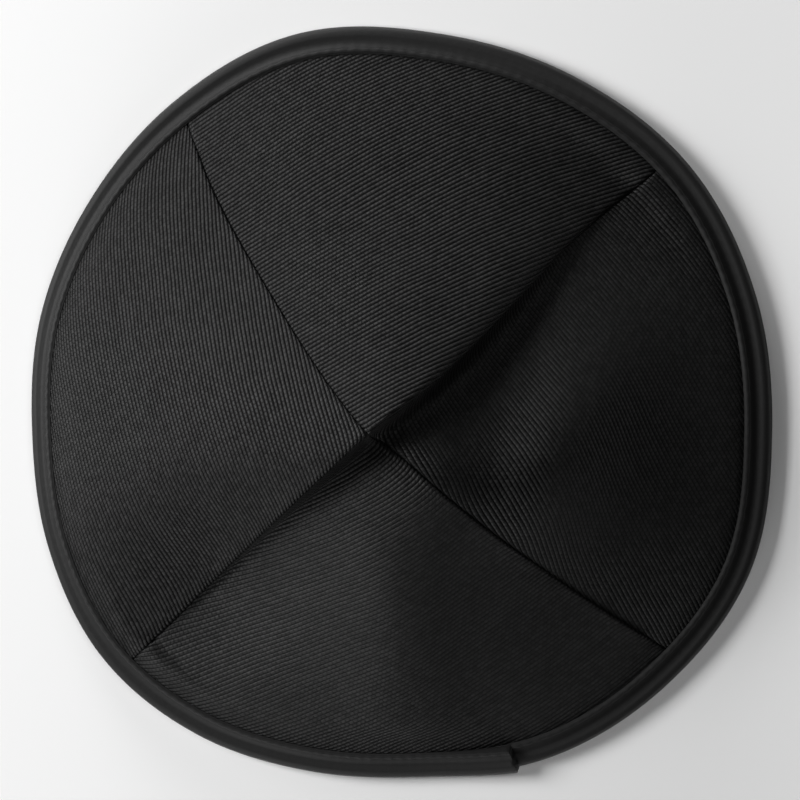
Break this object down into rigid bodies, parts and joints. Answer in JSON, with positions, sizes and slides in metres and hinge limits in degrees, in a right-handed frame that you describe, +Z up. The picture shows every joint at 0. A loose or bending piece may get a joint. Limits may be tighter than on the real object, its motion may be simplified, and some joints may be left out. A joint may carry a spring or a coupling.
{
  "type": "kippah",
  "caption": "Black four-panel twill skullcap with a crested long seam and a smooth tape folded over its rim, lying on its rim with the outside up.",
  "frame": {"origin": "on the floor under the middle of the cap's box, with the cap lying on its rim", "axes": "+Z up out of the crown, +X to the right and +Y away from the viewer as the cap is seen from above"},
  "size_m": [0.1679, 0.1703, 0.0526],
  "materials": {
    "twill_cloth": "black twill cloth with fine slanting ribs, matt with a faint sheen",
    "satin_tape": "smooth black tape with a soft silky sheen"
  },
  "bodies": {
    "root": {"panel_left": "twill_cloth", "panel_back": "twill_cloth", "panel_right": "twill_cloth", "panel_front": "twill_cloth", "edge_binding": "satin_tape"}
  },
  "joints": []
}
